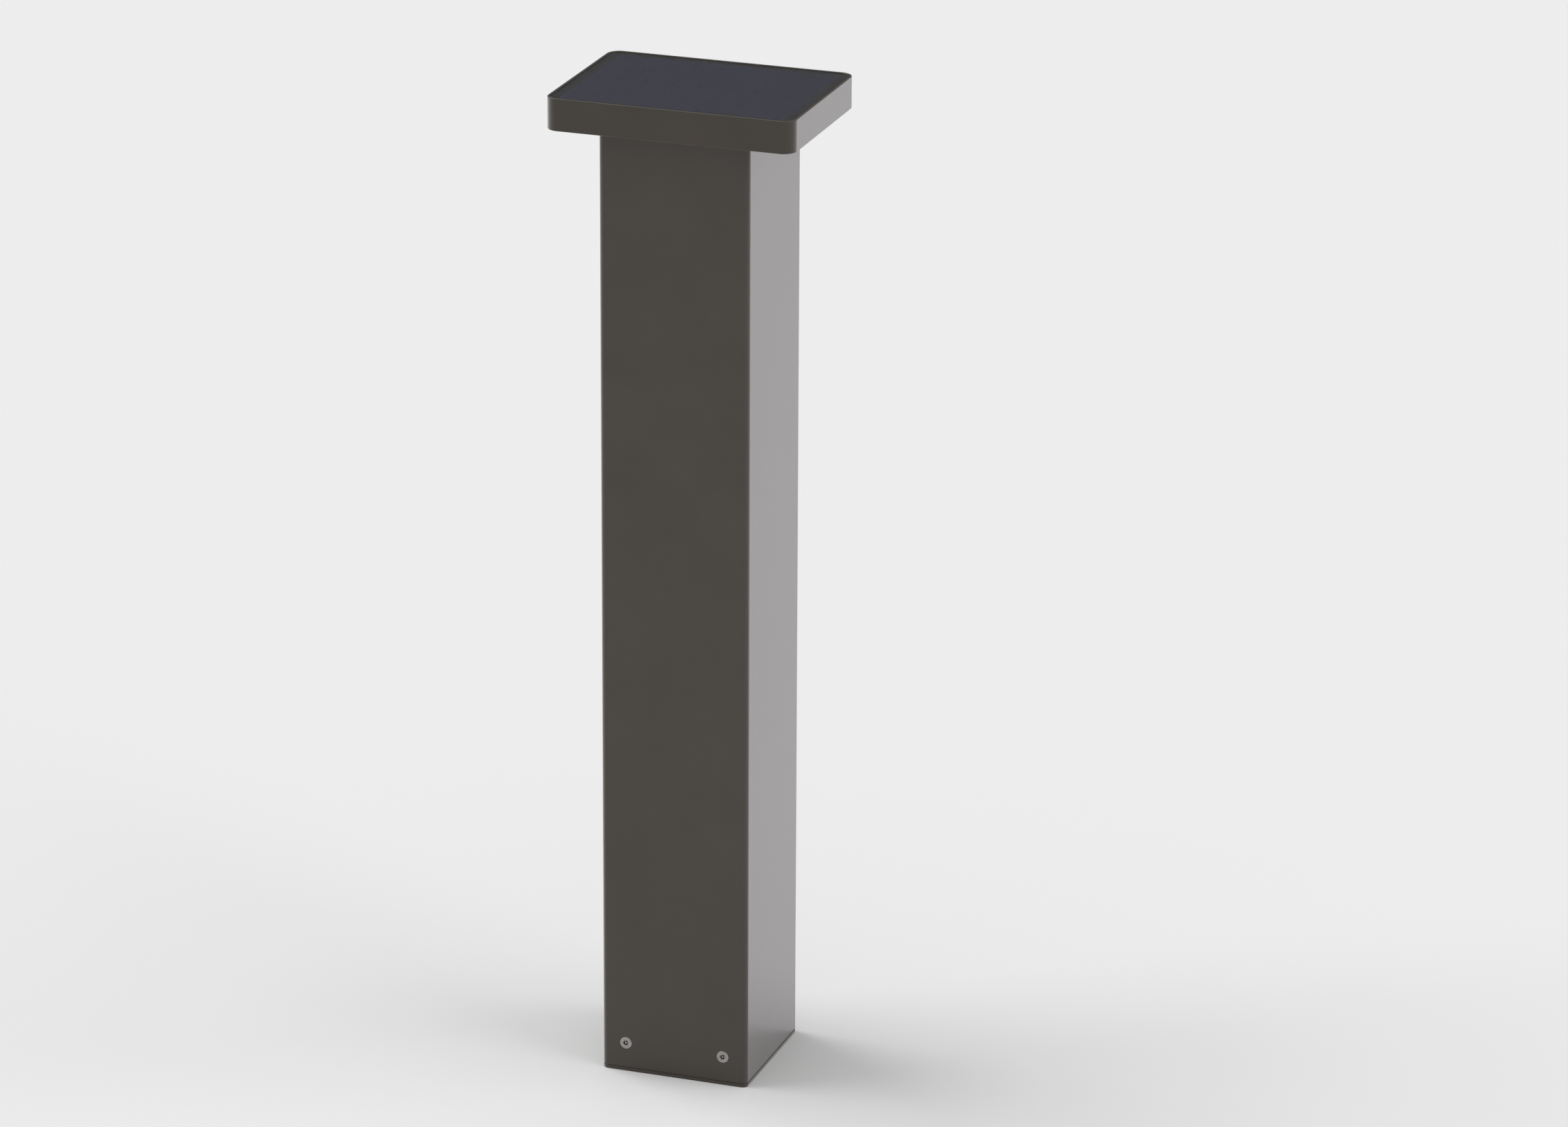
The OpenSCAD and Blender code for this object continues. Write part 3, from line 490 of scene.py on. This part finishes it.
def axis_of(name):
    """Where the upright axis of a turned piece stands, with x taken as positive."""
    low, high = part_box(name)
    middle = (low + high) / 2
    return abs(middle.x), middle.y


def all_looks():
    """One look for each material slot of the record."""
    return {
        "bronze_coat": bronze_coat("column_coat_look", COLUMN_GLOSS),
        "stainless": turned_steel(
            "stainless_look", (0.36, 0.345, 0.335), 0.36, ("X", "Z"), screw_centre("base_screws_front")),
        "bezel_steel": turned_steel(
            "bezel_steel_look", (0.50, 0.49, 0.48), 0.26, ("X", "Y"), axis_of("button_body")),
        "gasket_rubber": rubber("gasket_rubber_look", (0.045, 0.038, 0.032), 0.66, 3.0),
        "panel_seal": rubber("panel_seal_look", (0.014, 0.012, 0.011), 0.50, 1.2),
        "panel_glass": panel_glass(),
        "solar_cell": solar_cell(),
        "backsheet": backsheet(),
        "opal_lens": opal_lens(),
        "membrane": membrane(),
        "vent_plastic": moulded_plastic("vent_plastic_look", (0.022, 0.022, 0.022), 0.52),
        "button_plastic": moulded_plastic("button_plastic_look", (0.018, 0.018, 0.018), 0.38, 4.0, 0.006),
        "case_plastic": moulded_plastic("case_plastic_look", (0.030, 0.030, 0.033), 0.55),
        "zinc_steel": zinc_steel(),
        "nickel": drawn_metal("nickel_look", (0.62, 0.59, 0.54), 0.30, (0.3, 8, 1)),
        "spreader_aluminium": drawn_metal("spreader_aluminium_look", (0.70, 0.70, 0.71), 0.34, (8, 0.2, 1)),
        "spring_steel": drawn_metal("spring_steel_look", (0.50, 0.50, 0.51), 0.24, (1, 1, 1), 5.0),
        "circuit_board": circuit_board(),
        "white_board": white_board(),
        "cell_sleeve": cell_sleeve(),
        "led_phosphor": led_phosphor(),
        "clear_optic": clear_optic(),
        "cable_jacket": cable("cable_jacket_look", (0.018, 0.018, 0.018), 0.55),
        "red_wire": cable("red_wire_look", (0.38, 0.018, 0.012), 0.42),
    }


# ---- Edges: rounds a CAD node's hard edges with modifiers, leaving its mesh alone ----

WELD = 0.002 * MM
EDGE_ANGLE = math.radians(30)
FLAT_ANGLE = math.radians(0.5)
EDGE_SEGMENTS = 3
EDGE_RADIUS = {  # in millimetres, by material slot
    "bronze_coat": 0.35,
    "stainless": 0.12,
    "bezel_steel": 0.25,
    "gasket_rubber": 0.12,
    "panel_seal": 0.12,
    "panel_glass": 0.12,
    "opal_lens": 0.30,
    "vent_plastic": 0.20,
    "button_plastic": 0.25,
    "case_plastic": 0.25,
    "zinc_steel": 0.20,
    "circuit_board": 0.10,
    "white_board": 0.10,
    "cell_sleeve": 0.40,
    "spreader_aluminium": 0.20,
    "cable_jacket": 0.10,
    "red_wire": 0.10,
}
SMALLEST_EDGE = 0.05
FACE_WEIGHT = 80  # above 50, large faces count for more where normals are averaged
NODE_RADIUS = {"base_plate": 0.48, "head_housing": 0.70}  # softer edges than their slot's
SPLIT_NODES = ("base_plate", "base_gasket")  # ring-shaped faces, which bevel well only in triangles


def smooth_nodes():
    """A modifier that drops the imported normals and shades every face smoothly."""
    group = bpy.data.node_groups.new("shade_smooth", "GeometryNodeTree")
    group.interface.new_socket("Geometry", in_out="INPUT", socket_type="NodeSocketGeometry")
    group.interface.new_socket("Geometry", in_out="OUTPUT", socket_type="NodeSocketGeometry")
    start = group.nodes.new("NodeGroupInput")
    drop = group.nodes.new("GeometryNodeRemoveAttribute")
    drop.inputs["Name"].default_value = "custom_normal"
    faces = group.nodes.new("GeometryNodeSetShadeSmooth")
    faces.domain = "FACE"
    edges = group.nodes.new("GeometryNodeSetShadeSmooth")
    edges.domain = "EDGE"
    end = group.nodes.new("NodeGroupOutput")
    stages = (start, drop, faces, edges, end)
    for before, after in zip(stages, stages[1:]):
        group.links.new(before.outputs[0], after.inputs[0])
    return group


def round_edges(obj, radius, smooth, split):
    """Welds the imported faces, clears the flat ones of spare edges, and bevels the hard edges."""
    weld = obj.modifiers.new("weld", "WELD")
    weld.merge_threshold = WELD
    flat = obj.modifiers.new("flat", "DECIMATE")
    flat.decimate_type = "DISSOLVE"
    flat.angle_limit = FLAT_ANGLE
    flat.delimit = {"NORMAL"}
    if split:
        triangles = obj.modifiers.new("triangles", "TRIANGULATE")
        triangles.min_vertices = 4
    shade = obj.modifiers.new("smooth", "NODES")
    shade.node_group = smooth
    bevel = obj.modifiers.new("bevel", "BEVEL")
    bevel.width = radius * MM
    bevel.segments = EDGE_SEGMENTS
    bevel.limit_method = "ANGLE"
    bevel.angle_limit = EDGE_ANGLE
    bevel.use_clamp_overlap = False
    bevel.loop_slide = False
    bevel.harden_normals = True
    bevel.miter_outer = "MITER_ARC"
    normals = obj.modifiers.new("normals", "WEIGHTED_NORMAL")
    normals.weight = FACE_WEIGHT


# ---- Helpers for the pieces that replace a CAD node ----


def finish_piece(mesh, name, slot, replaced):
    """Turns a bmesh into a piece that rides on the light and stands for one CAD node."""
    bmesh.ops.recalc_face_normals(mesh, faces=mesh.faces)
    data = bpy.data.meshes.new(name)
    mesh.to_mesh(data)
    mesh.free()
    piece = bpy.data.objects.new(name, data)
    bpy.context.scene.collection.objects.link(piece)
    piece.data.materials.append(looks[slot].material)
    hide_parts(replaced)
    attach(piece, "light")
    return piece


def add_loop(mesh, outline, z):
    """New points on an outline at one height."""
    return [mesh.verts.new((x, y, z)) for x, y in outline]


def join_loops(mesh, first, second):
    """A band of faces between two loops with the same number of points."""
    for i in range(len(first)):
        mesh.faces.new((first[i - 1], first[i], second[i], second[i - 1]))


# ---- Solar laminate: sixteen thin wafers with clipped corners, each in its own pocket ----

CELL_COLUMNS = 8
CELL_ROWS = 2
CELL_GAP = 0.35
CELL_CLIP = 1.6
CELL_ROOM = 0.05
SHEET_CORNER = 9.85
SHEET_CORNER_STEPS = 12
BOND = 0.03  # how far the laminate reaches into the glass, so that they read as bonded


def clipped_rectangle(x, y, w, d, clip):
    """Corner points of a rectangle centred on x, y whose corners are cut off."""
    points = []
    for sx, sy in ((1, 1), (-1, 1), (-1, -1), (1, -1)):
        side = (x + sx * w / 2, y + sy * (d / 2 - clip))
        end = (x + sx * (w / 2 - clip), y + sy * d / 2)
        points += [side, end] if sx * sy > 0 else [end, side]
    return points


def round_rectangle(w, d, radius, steps):
    """Points of a rectangle centred on the origin, with round corners."""
    points = []
    for corner, (sx, sy) in enumerate(((1, 1), (-1, 1), (-1, -1), (1, -1))):
        for i in range(steps + 1):
            angle = math.radians(90) * (corner + i / steps)
            x = sx * (w / 2 - radius) + radius * math.cos(angle)
            y = sy * (d / 2 - radius) + radius * math.sin(angle)
            points.append((x, y))
    return points


def cell_outlines(grow):
    """The outline of every cell, made larger all round by grow."""
    low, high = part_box("pv_cells")
    pitch_x = (high.x - low.x) / CELL_COLUMNS
    pitch_y = (high.y - low.y) / CELL_ROWS
    w = pitch_x - CELL_GAP * MM + 2 * grow
    d = pitch_y - CELL_GAP * MM + 2 * grow
    outlines = []
    for i in range(CELL_COLUMNS):
        for j in range(CELL_ROWS):
            x = low.x + (i + 0.5) * pitch_x
            y = low.y + (j + 0.5) * pitch_y
            outlines.append(clipped_rectangle(x, y, w, d, CELL_CLIP * MM))
    return outlines


def add_solar_cells():
    low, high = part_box("pv_cells")
    mesh = bmesh.new()
    for outline in cell_outlines(0):
        bottom = add_loop(mesh, outline, low.z)
        top = add_loop(mesh, outline, high.z + BOND * MM)
        join_loops(mesh, bottom, top)
        mesh.faces.new(bottom)
        mesh.faces.new(top)
    finish_piece(mesh, "solar_cells", "solar_cell", "pv_cells")


def add_backsheet():
    """The sheet behind the cells, level with them and with a pocket for each."""
    low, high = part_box("pv_backsheet")
    pocket_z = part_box("pv_cells")[0].z
    top_z = high.z + BOND * MM
    mesh = bmesh.new()
    outer = round_rectangle(high.x - low.x, high.y - low.y, SHEET_CORNER * MM, SHEET_CORNER_STEPS)
    bottom = add_loop(mesh, outer, low.z)
    top = add_loop(mesh, outer, top_z)
    join_loops(mesh, bottom, top)
    mesh.faces.new(bottom)
    rims = [top]
    for outline in cell_outlines(CELL_ROOM * MM):
        floor = add_loop(mesh, outline, pocket_z)
        rim = add_loop(mesh, outline, top_z)
        join_loops(mesh, floor, rim)
        mesh.faces.new(floor)
        rims.append(rim)
    edges = [mesh.edges.get((rim[i - 1], rim[i])) for rim in rims for i in range(len(rim))]
    bmesh.ops.triangle_fill(mesh, edges=edges, use_beauty=True)
    finish_piece(mesh, "laminate", "backsheet", "pv_backsheet")


# ---- Button spring: a coil with closed ends ----

SPRING_WIRE = 0.6
SPRING_TURNS = 5.5
SPRING_CLOSED = 0.9  # turns at each end that lie close together
SPRING_CLOSED_PITCH = 1.03  # rise of a closed turn, as a share of the wire's thickness
SPRING_STEPS = 48
SPRING_SIDES = 12


def spring_height(turn, length):
    """Height of the wire's centre after a number of turns, from 0 to length."""
    closed_rise = SPRING_CLOSED * SPRING_WIRE * MM * SPRING_CLOSED_PITCH
    open_turns = SPRING_TURNS - 2 * SPRING_CLOSED
    if turn < SPRING_CLOSED:
        return closed_rise * turn / SPRING_CLOSED
    if turn > SPRING_TURNS - SPRING_CLOSED:
        return length - closed_rise * (SPRING_TURNS - turn) / SPRING_CLOSED
    return closed_rise + (length - 2 * closed_rise) * (turn - SPRING_CLOSED) / open_turns


def add_spring():
    low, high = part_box("button_spring")
    centre = (low + high) / 2
    wire = SPRING_WIRE * MM / 2
    coil = (high.x - low.x) / 2 - wire
    length = high.z - low.z - 2 * wire
    steps = int(SPRING_TURNS * SPRING_STEPS)
    mesh = bmesh.new()
    rings = []
    for i in range(steps + 1):
        turn = i / SPRING_STEPS
        z = low.z + wire + spring_height(turn, length)
        angle = 2 * math.pi * turn
        ring = []
        for k in range(SPRING_SIDES):
            a = 2 * math.pi * k / SPRING_SIDES
            r = coil + wire * math.cos(a)
            place = (centre.x + r * math.cos(angle), centre.y + r * math.sin(angle), z + wire * math.sin(a))
            ring.append(mesh.verts.new(place))
        rings.append(ring)
    for first, second in zip(rings, rings[1:]):
        join_loops(mesh, first, second)
    mesh.faces.new(rings[0])
    mesh.faces.new(rings[-1])
    for face in mesh.faces:
        face.smooth = len(face.verts) == 4
    spring = finish_piece(mesh, "return_spring", "spring_steel", "button_spring")
    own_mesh(spring)


# ---- The scene ----

add_camera()
add_sky()
add_sun("sun_left", azimuth=180, elevation=46.4, disc=51.0, strength=1.635)
add_sun("sun_right", azimuth=0, elevation=33.6, disc=53.2, strength=0.943)
add_floor()
bpy.context.scene.view_settings.view_transform = "Standard"
bpy.context.scene.cycles.caustics_reflective = False

looks = all_looks()
smooth = smooth_nodes()
for name, node in cad.items():
    slot = node.material_slots[0]
    slot_name = slot.material.name
    slot.material = looks[slot_name].material
    radius = NODE_RADIUS.get(name, EDGE_RADIUS.get(slot_name, SMALLEST_EDGE))
    round_edges(node, radius, smooth, name in SPLIT_NODES)
cad["head_housing"].material_slots[0].material = bronze_coat("head_coat_look", HEAD_GLOSS).material
add_solar_cells()
add_backsheet()
add_spring()
